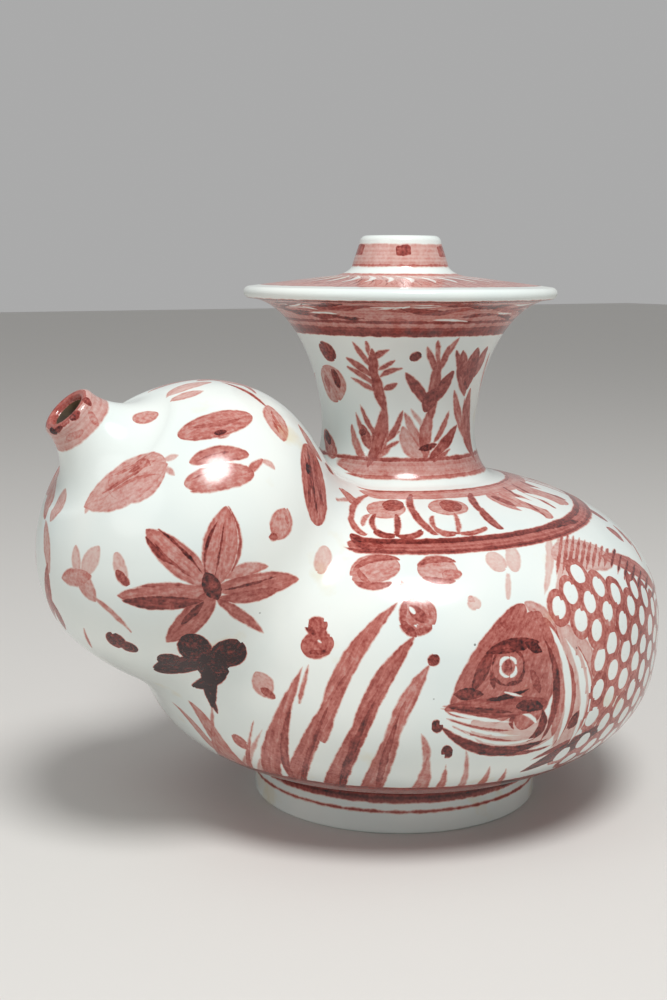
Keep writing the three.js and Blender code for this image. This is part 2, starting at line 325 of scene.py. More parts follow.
def turned(name, profile, sides, place):
    """A closed mesh object turned from a profile that starts and ends on the axis."""
    rings = np.array(profile[1:-1])
    angle = np.arange(sides) * 2 * math.pi / sides
    x = rings[:, 0, None] * np.cos(angle)
    y = rings[:, 0, None] * np.sin(angle)
    z = np.repeat(rings[:, 1, None], sides, 1)
    poles = [[0, 0, profile[0][1]], [0, 0, profile[-1][1]]]
    points = np.concatenate([np.stack([x, y, z], 2).reshape(-1, 3), poles])
    low, high = len(points) - 2, len(points) - 1
    faces = []
    for ring in range(len(rings) - 1):
        for side in range(sides):
            following = (side + 1) % sides
            a, b = ring * sides + side, ring * sides + following
            faces.append((a, b, b + sides, a + sides))
    last = (len(rings) - 1) * sides
    for side in range(sides):
        following = (side + 1) % sides
        faces.append((low, following, side))
        faces.append((high, last + side, last + following))
    points = place(points)
    mesh = bpy.data.meshes.new(name)
    mesh.from_pydata((points * MM).tolist(), [], faces)
    made = bpy.data.objects.new(name, mesh)
    bpy.context.scene.collection.objects.link(made)
    return made


def upright(points):
    """Carries points from the profile's axis to the vessel's."""
    return points + np.array([VESSEL_X, 0, 0])


def leaned(points):
    """Carries points from the spout's own axis out to the shoulder."""
    across = points[:, 0, None] * SPOUT_UP + points[:, 1, None] * SPOUT_SIDE
    return BULB_CENTRE + across + points[:, 2, None] * SPOUT_ALONG


def combined(first, second, operation):
    """Joins or cuts the first object with the second, and takes the second away."""
    change = first.modifiers.new(operation, "BOOLEAN")
    change.operation = operation
    change.solver = "EXACT"
    change.object = second
    bpy.context.view_layer.update()
    shaped = bpy.data.meshes.new_from_object(first.evaluated_get(bpy.context.evaluated_depsgraph_get()))
    first.modifiers.clear()
    first.data = shaped
    bpy.data.objects.remove(second)
    return first


def read(items, name, width=1, kind=float):
    """One value of each item of a mesh, or one row of a width."""
    values = np.empty(len(items) * width, kind)
    items.foreach_get(name, values)
    return values if width == 1 else values.reshape(-1, width)


def soften_joint(outside):
    """Evens the mesh where body and bulb meet and brings it to the softly luted surface."""
    mesh = outside.data
    points = read(mesh.vertices, "co", 3) / MM
    vessel, spout = gaps_at(points)
    near = np.maximum(np.abs(vessel), np.abs(spout)) < JOINT_WIDTH * 1.2
    seam = near & (np.maximum(vessel, spout) < SEAM_WIDTH)
    edges = read(mesh.edges, "vertices", 2, int)
    first, second = edges.T
    degree = np.bincount(edges.ravel(), minlength=len(points))[:, None]
    for turn in range(SEAM_TURNS):
        if turn % 2 == 0:
            total = np.zeros_like(points)
            np.add.at(total, first, points[second])
            np.add.at(total, second, points[first])
            points[seam] = (total / degree)[seam]
        target = points[near]
        slope = slope_at(target)
        gap = luted_gap(target)[:, None]
        points[near] = target - slope * gap / np.clip((slope ** 2).sum(1, keepdims=True), 0.3, None)
    mesh.vertices.foreach_set("co", (points * MM).ravel())
    mesh.update()


def make_form():
    """The whole vessel as one closed mesh, with its true walls."""
    outside = combined(
        turned("glazed_kendi", VESSEL_PROFILE, 240, upright),
        turned("spout_outside", SPOUT_PROFILE, 168, leaned),
        "UNION",
    )
    soften_joint(outside)
    hollow = combined(
        turned("vessel_hollow", vessel_hollow(), 72, upright),
        turned("spout_hollow", spout_hollow(), 56, leaned),
        "UNION",
    )
    return combined(outside, hollow, "DIFFERENCE")


# Marks of the painting. A mark is a stroke of the brush with its tail and tip on the vessel. It is kept as
# tail, tip and the glaze's direction there, then half width, bow, ends and tone, in millimetres. A bow above
# nought curves to the left on the way to the tip. A tone below nought leaves the white glaze bare.
# Ends run from 1, long points, to nought, square; a blade is pointed at its tip and square at its tail.
LEAF, DAB, LINE, SQUARE, BLADE = 0.75, 0.5, 0.22, 0.08, -0.8
# Tones stand in the tables in hundredths
SPARED = -100


def outward(points):
    """Directions straight out of the glaze."""
    slope = slope_at(points, 0.3)
    return slope / np.linalg.norm(slope, axis=1, keepdims=True)


def seen(pixels):
    """The places on the vessel that the photo's pixels show."""
    across = (pixels[:, 0, None] - IMAGE_WIDTH / 2) / FOCAL_PIXELS
    down = (pixels[:, 1, None] - IMAGE_HEIGHT / 2) / FOCAL_PIXELS
    ray = CAMERA_FORWARD + across * CAMERA_RIGHT - down * CAMERA_UP
    ray /= np.linalg.norm(ray, axis=1, keepdims=True)
    reach = np.full(len(pixels), FIRST_REACH)
    nearest, least = reach.copy(), np.full(len(pixels), np.inf)
    for _ in range(SIGHT_STEPS):
        gap = luted_gap(CAMERA_PLACE + ray * reach[:, None])
        nearest = np.where(gap < least, reach, nearest)
        least = np.minimum(gap, least)
        reach = reach + np.where(gap > SIGHT_CLOSE, np.clip(gap, 0.4, 60), 0)
    places = CAMERA_PLACE + ray * nearest[:, None]
    return places - outward(places) * np.maximum(least, 0)[:, None]


def in_photo(points):
    """Pixels at which points show, from the middle of the picture."""
    away = points - CAMERA_PLACE
    depth = away @ CAMERA_FORWARD
    return np.stack([away @ CAMERA_RIGHT, -away @ CAMERA_UP], 1) * FOCAL_PIXELS / depth[:, None]


VESSEL_RUN = np.concatenate([[0], np.cumsum(np.hypot(*np.diff(VESSEL_PROFILE, axis=0).T))])


def on_vessel(places):
    """Places at a turn from the spout in degrees and a run in mm along the profile from its bottom."""
    turn, run = places.T
    radius = np.interp(run, VESSEL_RUN, VESSEL_PROFILE[:, 0])
    height = np.interp(run, VESSEL_RUN, VESSEL_PROFILE[:, 1])
    angle = np.radians(turn)
    return np.stack([VESSEL_X + radius * np.cos(angle), radius * np.sin(angle), height], 1)


def strokes(table, ends=LEAF, place=seen):
    """Marks from rows of tail, tip, width, tone and, where it isn't nought, bow. Places and sizes are the
    photo's pixels, or degrees and mm where place is on_vessel."""
    table = np.array([tuple(row) + (0,) * (7 - len(row)) for row in table], float)
    tail, tip, middle = place(table[:, 0:2]), place(table[:, 2:4]), place((table[:, 0:2] + table[:, 2:4]) / 2)
    normal = outward(middle)
    scale = np.ones(len(table))
    if place is seen:
        side = np.cross(normal, tip - tail)
        side /= np.linalg.norm(side, axis=1, keepdims=True)
        scale = np.linalg.norm(in_photo(middle + side) - in_photo(middle - side), axis=1) / 2
        scale = np.maximum(scale, LEAST_SCALE)
    shape = [table[:, 4] / 2 / scale, table[:, 6] / scale, np.full(len(table), ends), table[:, 5] / 100]
    return np.column_stack([tail, tip, normal] + shape)


def hoop(x, y, wide, high, width, tone):
    """Rows for an oval that the brush goes round, from its middle, half width and half height."""
    count, rows = 4, []
    half = 1.16 * math.pi / count
    for step in range(count):
        middle = (step + 0.5) * 2 * math.pi / count
        ends = []
        for angle in (middle - half, middle + half):
            ends += [x + wide * math.cos(angle), y + high * math.sin(angle)]
        sag = (1 - math.cos(half)) * math.hypot(wide * math.cos(middle), high * math.sin(middle))
        rows.append(ends + [width, tone, sag])
    return rows


def fan(first, last, count, width, tone):
    """Rows spread evenly from a first to a last (tail x, tail y, tip x, tip y, bow)."""
    rows = []
    for share in np.linspace(0, 1, count):
        row = [a + (b - a) * share for a, b in zip(first, last)]
        rows.append(row[:4] + [width, tone, row[4]])
    return rows


# Blossoms and leaves on the bulb, read off the photo
STAR_BLOSSOM = [
    (214, 588, 146, 529, 31, 52), (203, 574, 158, 529, 5, 80, -3), (176, 566, 146, 536, 8, 74, 3),
    (196, 580, 152, 540, 5, 66, 2), (212, 590, 226, 506, 36, 50), (206, 580, 222, 515, 5, 76, 8),
    (214, 580, 225, 515, 3, 72), (226, 580, 228, 506, 5, 62, -12), (212, 588, 299, 579, 24, 56),
    (222, 590, 276, 576, 5, 82), (218, 578, 268, 566, 14, 46, 3), (218, 597, 280, 588, 14, 60, -3),
    (214, 588, 117, 595, 26, 54, 2), (205, 600, 122, 600, 15, 76), (200, 586, 132, 588, 5, 60, -4),
    (216, 586, 166, 642, 27, 60, 2), (205, 600, 180, 625, 9, 78), (214, 596, 264, 633, 12, 58),
    (205, 572, 218, 600, 20, 84),
]
# The plum blossom's lobes take tones past 100, darker than the red's darkest stop: its own dark red with
# painted shade of the bulb's underside laid over it
PLUM_LOBES_WITH_PAINTED_SHADE = [
    (186, 634, 203, 661, 32, 98), (241, 641, 215, 663, 32, 98), (154, 670, 206, 660, 20, 98, 2),
    (157, 657, 184, 663, 13, 98), (196, 665, 230, 667, 28, 104), (193, 687, 226, 673, 15, 112),
]
# The stem as well: dark red with painted shade on top
PLUM_STEM_WITH_PAINTED_SHADE = [
    (206, 662, 212, 708, 15, 112), (211, 698, 218, 714, 5, 92),
]
BULB_LEAVES = [
    (168, 464, 84, 507, 40, 42, 3), (158, 460, 98, 496, 4, 52, 2), (164, 474, 104, 499, 5, 48, -5),
    (150, 452, 110, 476, 5, 50, 4), (163, 461, 179, 455, 6, 32), (164, 466, 175, 476, 7, 38),
    (95, 498, 85, 514, 4, 34), (136, 462, 152, 466, 12, 52), (128, 473, 142, 467, 6, 60),
    (244, 417, 186, 428, 6, 55, 5), (236, 430, 184, 440, 8, 50, -2), (193, 464, 240, 452, 4, 62, 3),
    (188, 482, 246, 468, 5, 58, 3), (190, 492, 236, 486, 5, 52, -2), (246, 474, 263, 459, 9, 50),
    (260, 461, 275, 470, 6, 34, 2), (268, 405, 283, 442, 23, 42, -1), (271, 410, 287, 436, 5, 52, -3),
    (272, 420, 280, 436, 4, 55), (287, 508, 275, 540, 24, 46), (268, 536, 278, 538, 9, 60),
    (284, 512, 289, 528, 5, 52), (307, 446, 318, 516, 5, 78, -5), (303, 450, 308, 512, 5, 70, 1),
    (312, 450, 324, 508, 5, 68, -4), (298, 424, 322, 462, 6, 50, -2), (307, 461, 308, 475, 6, 97),
    (256, 671, 270, 698, 21, 40), (260, 688, 276, 698, 9, 62),
]
BULB_DABS = [
    (166, 461, 108, 490, 45, 42, 4), (252, 416, 178, 437, 28, 52, 2), (189, 463, 249, 455, 18, 54, 3),
    (184, 485, 254, 473, 28, 50), (307, 444, 316, 526, 28, 58, -2), (326, 546, 319, 574, 18, 30),
    (133, 421, 158, 413, 14, 46), (209, 433, 231, 431, 14, 40), (214, 434, 227, 431, 7, 90),
    (116, 552, 126, 584, 13, 32), (116, 570, 130, 586, 10, 68), (109, 632, 124, 648, 16, 86),
    (118, 641, 138, 651, 9, 88), (50, 429, 58, 433, 7, 97), (325, 464, 333, 473, 9, 70),
]
BULB_GARLAND = [
    (148, 393, 206, 379, 6, 44, 2), (166, 398, 212, 382, 13, 36, 2), (170, 402, 204, 391, 8, 38),
    (158, 388, 222, 379, 5, 52, 2), (212, 380, 258, 390, 14, 42, 2), (220, 382, 268, 409, 5, 64, 2),
    (232, 381, 256, 394, 7, 52, 2), (196, 381, 240, 380, 7, 48, 2),
]
BULB_SIDE_BLOSSOM = [
    (78, 578, 76, 544, 9, 32), (83, 576, 100, 546, 18, 30), (62, 578, 92, 576, 20, 44),
    (78, 570, 96, 602, 15, 42), (90, 594, 132, 632, 5, 42, 4), (84, 628, 92, 648, 4, 55),
]
BULB_EDGE = [
    (57, 478, 45, 520, 13, 44), (66, 488, 50, 522, 10, 38), (46, 520, 50, 574, 8, 38, 2),
    (48, 562, 54, 624, 13, 66, 3), (52, 600, 66, 630, 8, 72, 2),
]

# Water weeds and blossoms on the body
WEEDS = [
    (294, 786, 303, 666, 23, 56, 8), (296, 780, 292, 700, 10, 66, 4), (299, 704, 309, 664, 5, 50),
    (308, 788, 350, 668, 21, 58, 11), (322, 742, 398, 602, 20, 56, 14), (314, 790, 340, 680, 8, 68, 8),
    (336, 793, 384, 680, 23, 62, 10), (354, 750, 416, 634, 20, 60, 9), (344, 790, 380, 690, 10, 76, 8),
    (366, 795, 408, 694, 23, 54, 7), (386, 752, 430, 664, 17, 50, 5), (378, 790, 402, 706, 9, 66, 5),
    (394, 795, 428, 752, 17, 48, -7), (424, 768, 421, 733, 8, 42, -4), (410, 795, 446, 764, 10, 52, -7),
    (430, 795, 466, 748, 8, 42, -10), (440, 795, 490, 766, 10, 46, -7), (462, 792, 506, 768, 9, 48, -6),
    (480, 790, 524, 776, 8, 44, -4), (256, 777, 262, 730, 12, 36, 3), (270, 780, 277, 724, 8, 32, 2),
    (250, 775, 188, 700, 16, 48, -6), (238, 771, 172, 702, 7, 44, -6), (256, 777, 212, 702, 11, 46, -5),
    (264, 779, 254, 720, 8, 54, -4), (248, 748, 232, 734, 9, 56),
]
SHOULDER_DABS = [
    (350, 577, 400, 565, 31, 46, 2), (352, 572, 400, 560, 9, 60, 7), (354, 582, 392, 583, 9, 58, -4),
    (366, 577, 388, 571, 4, 20), (358, 568, 372, 584, 8, 56, -3), (417, 569, 458, 573, 28, 44, 2),
    (417, 566, 456, 562, 8, 58, 4), (422, 577, 456, 581, 8, 56, -2), (428, 573, 442, 573, 4, 20),
    (440, 576, 462, 574, 12, 52), (400, 581, 407, 592, 6, 30), (410, 592, 424, 582, 6, 28),
    (408, 590, 412, 602, 6, 30), (400, 610, 436, 622, 40, 52), (400, 620, 417, 637, 11, 66, -1),
    (409, 606, 426, 622, 14, 62), (405, 601, 402, 624, 9, 58), (412, 634, 432, 628, 8, 58),
    (428, 603, 434, 622, 7, 50), (409, 607, 415, 614, 4, SPARED), (414, 624, 420, 628, 3, SPARED),
    (306, 628, 328, 624, 19, 62), (301, 648, 334, 642, 28, 60), (312, 622, 326, 650, 19, 62),
    (318, 640, 322, 643, 3, SPARED), (306, 624, 316, 636, 8, 74), (308, 652, 328, 652, 8, 72),
    (468, 599, 480, 608, 13, 26), (469, 596, 474, 604, 7, 36), (429, 665, 438, 655, 12, 76),
    (431, 728, 443, 725, 13, 86), (441, 753, 453, 751, 13, 86), (502, 781, 532, 787, 14, 95),
    (490, 552, 502, 572, 19, 28), (511, 546, 514, 572, 16, 26), (492, 568, 512, 562, 7, 24),
    (508, 572, 508, 600, 6, 24),
]
SHOULDER_DASHES = [
    (585, 508, 608, 522, 6, 70, 1), (592, 504, 612, 520, 4, 52, 1), (606, 527, 624, 542, 6, 62, 1),
    (612, 524, 632, 546, 5, 56, 1), (626, 536, 642, 562, 4, 46, 1), (546, 528, 544, 596, 9, 26, 2),
    (556, 528, 555, 600, 8, 30, 2), (566, 530, 560, 592, 7, 28, 2),
]

# The fish's head, whose dark wash is laid in broad dabs, with jaws and gills in finer strokes
HEAD_WASH = [
    (452, 712, 524, 604, 34, 60, 3), (468, 716, 540, 612, 42, 56, 3), (490, 722, 546, 618, 48, 56, 2),
    (520, 730, 548, 622, 40, 56), (444, 709, 548, 702, 24, 64), (524, 602, 556, 640, 16, 40, 4),
    (548, 620, 552, 736, 16, 52, 4), (470, 724, 560, 726, 40, 30, -10), (556, 622, 556, 748, 46, 36, 18),
]
HEAD_STROKES = [
    (484, 654, 540, 642, 16, 84, 3), (524, 642, 542, 652, 12, 92), (472, 692, 492, 648, 15, 78),
    (452, 694, 484, 694, 14, 84), (484, 700, 530, 688, 7, 94, -2), (442, 706, 516, 712, 7, 78),
    (490, 668, 494, 690, 8, 76), (530, 668, 540, 694, 10, 66), (504, 685, 524, 680, 6, 80),
    (514, 706, 544, 708, 14, 88, 2), (542, 708, 526, 742, 9, 82, 7), (518, 712, 514, 730, 6, 72, -5),
    (440, 708, 510, 716, 4, 66), (446, 718, 516, 730, 4, 60, -3), (452, 726, 522, 740, 4, 60, -4),
    (438, 724, 548, 738, 13, 84, -18), (470, 742, 552, 744, 6, 72, -9), (494, 634, 506, 622, 10, 62),
    (476, 676, 498, 656, 8, 70),
]
HEAD_LIGHTS = [
    (446, 711, 512, 722, 4, SPARED, -1), (452, 722, 520, 735, 4, SPARED, -3),
    (462, 730, 534, 738, 4, SPARED, -8), (522, 714, 536, 724, 4, SPARED, 3), (504, 692, 522, 696, 3, SPARED),
]
FISH_EYE = hoop(508, 667, 8, 10, 4, SPARED) + [(508, 660, 508, 675, 10, 68)]
EYE_RINGS = hoop(508, 667, 16, 19, 5, 78)
GILLS = [
    (541, 634, 538, 744, 9, 76, 13), (556, 640, 548, 750, 6, 62, 17), (572, 638, 560, 750, 5, 52, 20),
    (588, 664, 574, 744, 5, 48, 8),
]
GILL_LIGHTS = [
    (549, 626, 556, 742, 8, SPARED, 10), (565, 638, 568, 744, 8, SPARED, 12),
    (579, 650, 580, 730, 4, SPARED, 8),
]
SIDE_FIN = [
    (520, 772, 606, 722, 13, 90, 3), (530, 760, 592, 730, 6, 72, 3), (545, 772, 622, 736, 8, 74, 2),
    (566, 730, 584, 708, 9, 84), (556, 752, 604, 726, 8, 86), (580, 762, 636, 720, 6, 56, 2),
]

# Sprays on the neck
NECK_SPRAYS = [
    (367, 468, 385, 402, 14, 60, -3), (386, 412, 374, 366, 12, 62, 2), (374, 384, 372, 348, 11, 62),
    (372, 368, 352, 341, 6, 58), (369, 356, 366, 340, 5, 54), (370, 360, 390, 349, 7, 62, 1),
    (376, 371, 396, 360, 5, 56), (378, 378, 403, 368, 6, 60, 2), (382, 390, 398, 383, 6, 58),
    (374, 378, 346, 357, 7, 58, -1), (378, 386, 347, 366, 6, 56, -1), (380, 394, 351, 377, 5, 52, -1),
    (368, 464, 352, 424, 8, 50, 4), (376, 452, 356, 412, 6, 52, 3), (380, 440, 360, 404, 5, 58, 2),
    (370, 450, 362, 424, 10, 62), (374, 460, 384, 420, 18, 50), (382, 446, 403, 410, 7, 62, -3),
    (384, 436, 402, 431, 4, 44), (382, 450, 400, 441, 5, 56), (376, 460, 392, 446, 6, 48),
    (426, 462, 431, 408, 13, 54, 2), (430, 424, 440, 356, 12, 60), (431, 408, 405, 372, 12, 70),
    (424, 412, 436, 388, 15, 72), (432, 404, 454, 370, 11, 68), (438, 376, 427, 346, 8, 60),
    (438, 366, 438, 340, 6, 54), (440, 370, 450, 344, 7, 56), (440, 362, 460, 337, 6, 50),
    (426, 462, 402, 426, 18, 42, 4), (430, 456, 404, 412, 10, 44, 2), (430, 436, 410, 408, 5, 34),
    (428, 460, 457, 424, 11, 66, -2), (430, 464, 450, 449, 6, 56), (432, 444, 449, 410, 6, 56, -2),
    (418, 450, 437, 444, 8, 82), (464, 396, 463, 350, 14, 64), (466, 386, 456, 350, 9, 66),
    (466, 390, 478, 347, 13, 70), (468, 380, 488, 346, 8, 62, -2), (454, 390, 464, 440, 8, 54),
    (464, 398, 474, 462, 5, 50), (470, 388, 476, 462, 7, 60, -2), (456, 400, 470, 456, 4, 42, 2),
    (490, 352, 478, 402, 5, 40),
]
NECK_DABS = [
    (319, 343, 336, 359, 14, 78), (323, 366, 340, 401, 22, 44, 1), (332, 368, 340, 388, 7, 76),
    (325, 374, 330, 392, 5, 56), (324, 430, 336, 458, 14, 54), (325, 431, 331, 444, 8, 86),
    (410, 360, 421, 353, 9, 78), (361, 428, 365, 436, 8, 76),
]
COLLAR_DABS = [
    (396, 251, 411, 250, 12, 70), (357, 250, 364, 250, 13, 64), (438, 252, 445, 252, 13, 62),
]

# The lotus band on the shoulder
LOTUS_OVALS = [
    (367, 511, 405, 507, 20, 44), (382, 506, 404, 505, 12, 68), (370, 514, 362, 527, 6, 44, -2),
    (429, 509, 467, 506, 21, 44), (439, 505, 462, 507, 13, 66), (486, 493, 524, 511, 15, 46),
    (491, 496, 515, 506, 6, 68), (500, 490, 552, 519, 20, 46, -3), (512, 482, 568, 505, 16, 46, -3),
    (530, 477, 576, 494, 12, 42, -2), (350, 534, 384, 548, 12, 70, -3), (546, 529, 578, 521, 12, 80, 2),
]
LOTUS_LINES = [
    (368, 495, 351, 522, 7, 54, -6), (350, 516, 366, 536, 7, 54, -3), (411, 494, 415, 516, 8, 66, -3),
    (413, 510, 438, 536, 8, 62, -4), (470, 493, 483, 514, 8, 66, -3), (480, 508, 502, 530, 9, 64, -3),
    (376, 514, 378, 533, 6, 64, -5), (374, 530, 397, 536, 7, 68, -3), (396, 514, 397, 537, 7, 66, 1),
    (397, 536, 423, 531, 7, 66, -4), (433, 515, 437, 531, 5, 50, -3), (434, 528, 457, 534, 6, 54, -3),
    (454, 513, 458, 535, 6, 54, 2), (457, 534, 487, 528, 6, 56, -3), (340, 488, 353, 503, 7, 50, 2),
    (336, 500, 356, 498, 5, 42), (574, 484, 580, 508, 7, 60),
] + fan((503, 487, 546, 517, -2), (528, 478, 576, 492, -2), 4, 4, 66)
LOTUS_LIGHTS = [
    (503, 513, 528, 524, 7, SPARED), (516, 507, 546, 518, 5, SPARED), (514, 497, 553, 511, 4, SPARED),
    (524, 493, 560, 505, 4, SPARED), (530, 487, 566, 498, 4, SPARED), (538, 482, 572, 492, 3, SPARED),
]


def scales():
    """Rows of the fish's scales in a staggered net: a red round of the brush, left bare in the middle. They
    fill a rounded field of turns and runs that the gill's curve and the back cut off."""
    brush = random.Random(11)
    rows = []
    for column in range(17):
        for row in range(9):
            turn = 84 + 4.5 * column + brush.uniform(-0.35, 0.35)
            run = 88 + 8.0 * row + 4.0 * (column % 2) + brush.uniform(-0.5, 0.5)
            gill = 97.5 - 16 * ((run - 115) / 33) ** 2
            back = 151 - 0.45 * max(turn - 94, 0)
            tall = 31 - 0.55 * max(turn - 118, 0)
            flank = abs((turn - 119) / 42) ** 3 + abs((run - 120) / tall) ** 3 < 1
            if flank and gill < turn < 158 and run < back:
                tone = brush.uniform(50, 64) + 0.1 * (turn - 84)
                high, wide = brush.uniform(2.7, 3.2), brush.uniform(4.1, 5.0)
                rows.append((turn, run - 5.2, turn + 1.3, run + 5.2, 8.0, tone))
                rows.append((turn, run - high, turn + 1.3, run + high, wide, SPARED))
    return rows


BACK_FIN = (
    fan((556, 578, 562, 531, 1), (604, 568, 608, 548, 1), 9, 5.5, 54)
    + fan((611, 569, 615, 549, 1), (650, 602, 654, 580, 1), 7, 5, 76)
)
BACK_FIN_WASH = [(552, 557, 612, 560, 38, 36, 3), (602, 557, 656, 593, 21, 56, 4)]
BACK_FIN_END = fan((135, 133, 136, 142, -1), (152, 124, 154, 131, -1), 5, 2.4, 70)
TAIL_FIN = fan((154, 119, 176, 98, -3), (154, 119, 176, 140, 3), 8, 4.5, 62)
BACK_WEEDS = fan((146, 62, 144, 84, 1), (180, 62, 178, 104, 2), 6, 7, 52)
BACK_STRIPES = fan((142, 192, 144, 172, 2), (180, 192, 180, 174, 2), 8, 1.7, 60)
BACK_SPRAY = (
    [(166, 205, 166, 236, 4, 60)]
    + fan((166, 212, 150, 222, 1), (166, 228, 156, 238, 1), 4, 2.2, 60)
    + fan((166, 212, 182, 222, -1), (166, 228, 176, 238, -1), 4, 2.2, 60)
)
FLANGE_PETALS = fan((0, 289, 14, 269, 2), (354, 289, 368, 269, 2), 48, 2.8, 52)
FLANGE_VEINS = fan((4, 290, 18, 269, 2), (358, 290, 372, 269, 2), 48, 0.9, 76)
FLANGE_LIGHTS = fan((2, 291, 12, 277, 2), (350, 291, 360, 277, 2), 30, 1.7, SPARED)
NOZZLE_STROKES = [
    (70, 420, 80, 411, 9, 74), (60, 427, 70, 420, 7, 66), (82, 399, 91, 406, 8, 72),
    (88, 410, 98, 426, 9, 46), (66, 440, 84, 430, 10, 44), (54, 432, 64, 426, 7, 84),
]


def flange_clouds():
    """Rows of wavy strokes, red and spared, that go round the flange's underside."""
    brush = random.Random(5)
    rows = []
    for number in range(110):
        turn, run = brush.uniform(0, 360), brush.uniform(247.5, 255.5)
        length, drift = brush.uniform(12, 26), brush.uniform(-3, 3)
        run = min(run, 256 - drift)
        bow = 0.0012 * length ** 2 + brush.uniform(-0.9, 0.9)
        if number % 4 == 3:
            rows.append((turn, run, turn + length, run + drift, brush.uniform(0.7, 1.1), SPARED, bow))
        else:
            width, tone = brush.uniform(1.6, 3.2), brush.uniform(56, 84)
            rows.append((turn, run, turn + length, run + drift, width, tone, bow))
    return rows


# Bands that go right round: run along the profile, half width, tone in hundredths, and rise at the back
VESSEL_BANDS = [
    (56.0, 0.5, 56, 0), (64.5, 5.5, 84, 0), (72.0, 13.5, 70, 0), (161.8, 3.1, 60, 6),
    (159.9, 0.8, 72, 6), (163.8, 1.2, 76, 6), (188.6, 2.8, 44, 0), (191.5, 0.7, 58, 0),
    (201.6, 3.1, 44, 0), (204.7, 0.7, 58, 0), (199.4, 0.8, 54, 0), (243.3, 1.7, 76, 0),
    (246.8, 0.8, 66, 0), (251.0, 7.0, 48, 0), (258.6, 1.7, 78, 0), (280.5, 12.5, 46, 0),
    (268.6, 0.4, 70, 0), (299.7, 3.4, 38, 0), (296.6, 0.5, 54, 0),
]
SPOUT_BANDS = [(138.4, 4.6, 40, 0), (142.4, 1.9, 62, 0)]

# A face of the glaze carries the few marks that reach furthest over it, of those whose edge comes within
# REACH mm of its middle. END_FALL is how steeply a mark ends. Past SHARPNESS mm, deeper counts no more.
LAYERS = 5
REACH = -1.8
END_FALL = 9.0
SHARPNESS = 0.8
FAR = 99.0
# Gap below the outside at which the inside starts, run at the foot's top edge, and lowest slant to a mark
INNER_GAP, FOOT_LINE, GRAZING = -0.3, 58.6, 0.15
# Turns over which a band rises at the back, and how near to the bulb and how softly it ends, in mm
RISE_START, RISE_MOST, RISE_SPAN = 55, 95, 80
BULB_CLEAR, BULB_FADE = 9, 5


def opposite(marks):
    """Copies of marks on the vessel's other side, save where they would come into the photo's sight."""
    copies = marks.copy()
    copies[:, [1, 4, 7, 10]] *= -1
    middle = (copies[:, 0:3] + copies[:, 3:6]) / 2
    facing = ((CAMERA_PLACE - middle) * copies[:, 6:9]).sum(1)
    return copies[facing < 0]


def painting():
    """All the marks of the painting, as rows."""
    leaves = (STAR_BLOSSOM + PLUM_STEM_WITH_PAINTED_SHADE + BULB_LEAVES + BULB_GARLAND + BULB_SIDE_BLOSSOM + BULB_EDGE
              + SHOULDER_DASHES + HEAD_STROKES + HEAD_LIGHTS + GILLS + GILL_LIGHTS + SIDE_FIN + BACK_FIN
              + NECK_SPRAYS + LOTUS_LIGHTS)
    dabs = (PLUM_LOBES_WITH_PAINTED_SHADE + BULB_DABS + SHOULDER_DABS + HEAD_WASH + BACK_FIN_WASH + NECK_DABS + LOTUS_OVALS
            + NOZZLE_STROKES)
    one_side = np.concatenate([
        strokes(leaves), strokes(dabs, DAB), strokes(LOTUS_LINES + FISH_EYE + EYE_RINGS, LINE),
        strokes(WEEDS, BLADE), strokes(COLLAR_DABS, SQUARE),
        strokes(BACK_FIN_END + TAIL_FIN + BACK_SPRAY, LEAF, on_vessel), strokes(scales(), DAB, on_vessel),
        strokes(BACK_STRIPES, LINE, on_vessel), strokes(BACK_WEEDS, BLADE, on_vessel),
    ])
    flange = FLANGE_PETALS + FLANGE_VEINS + FLANGE_LIGHTS + flange_clouds()
    return np.concatenate([one_side, opposite(one_side), strokes(flange, LEAF, on_vessel)])


def place_on(marks, points):
    """Where points lie along a mark, from -1 at its tail to 1 at its tip, and how far beside it in mm."""
    tail, tip, normal = marks[..., 0:3], marks[..., 3:6], marks[..., 6:9]
    along = tip - tail
    length = np.linalg.norm(along, axis=-1)
    side = np.cross(normal, along)
    side /= np.linalg.norm(side, axis=-1, keepdims=True)
    away = points - (tail + tip) / 2
    return (away * along).sum(-1) * 2 / length ** 2, (away * side).sum(-1)


def ends_at(share, ends):
    """The ends of a mark at a place along it, where a blade's two differ."""
    return np.where((ends < 0) & (share < 0), LINE, np.abs(ends))


def depth_in(share, beside_it, half, bow, ends):
    """How far inside a mark's edge a place lies, in mm."""
    swell = 1 - share ** 2
    width = half * np.clip(swell, 0, None) ** ends + END_FALL * np.minimum(swell, 0)
    return width - np.abs(beside_it - bow * swell)


def band_place(bands, runs, clear, turn):
    """A band's share and place beside it. It ends as a stroke does before it gets to the bulb."""
    rise = bands[..., 3] * (np.clip(np.abs(turn) - RISE_START, 0, RISE_MOST) / RISE_SPAN) ** 2
    return np.clip((BULB_CLEAR - clear) / BULB_FADE, 0, None), runs - bands[..., 0] - rise


def reached(number, depth, faces, tone):
    """The faces that a mark reaches, with its scores there: deep and dark marks count most."""
    far = depth > REACH
    return faces[far], np.minimum(depth[far], SHARPNESS) + tone / 2, np.full(far.sum(), number)


def foremost(found, layers, count):
    """Numbers of the marks with the highest scores over each face, in layers, and -1 where there is none."""
    faces, scores, numbers = (np.concatenate(column) for column in zip(*found))
    order = np.lexsort((-scores, faces))
    faces, numbers = faces[order], numbers[order]
    rank = np.arange(len(faces)) - np.searchsorted(faces, faces)
    top = rank < layers
    chosen = np.full((layers, count), -1)
    chosen[rank[top], faces[top]] = numbers[top]
    return chosen


def turn_of(points):
    return np.degrees(np.arctan2(points[:, 1], points[:, 0] - VESSEL_X))


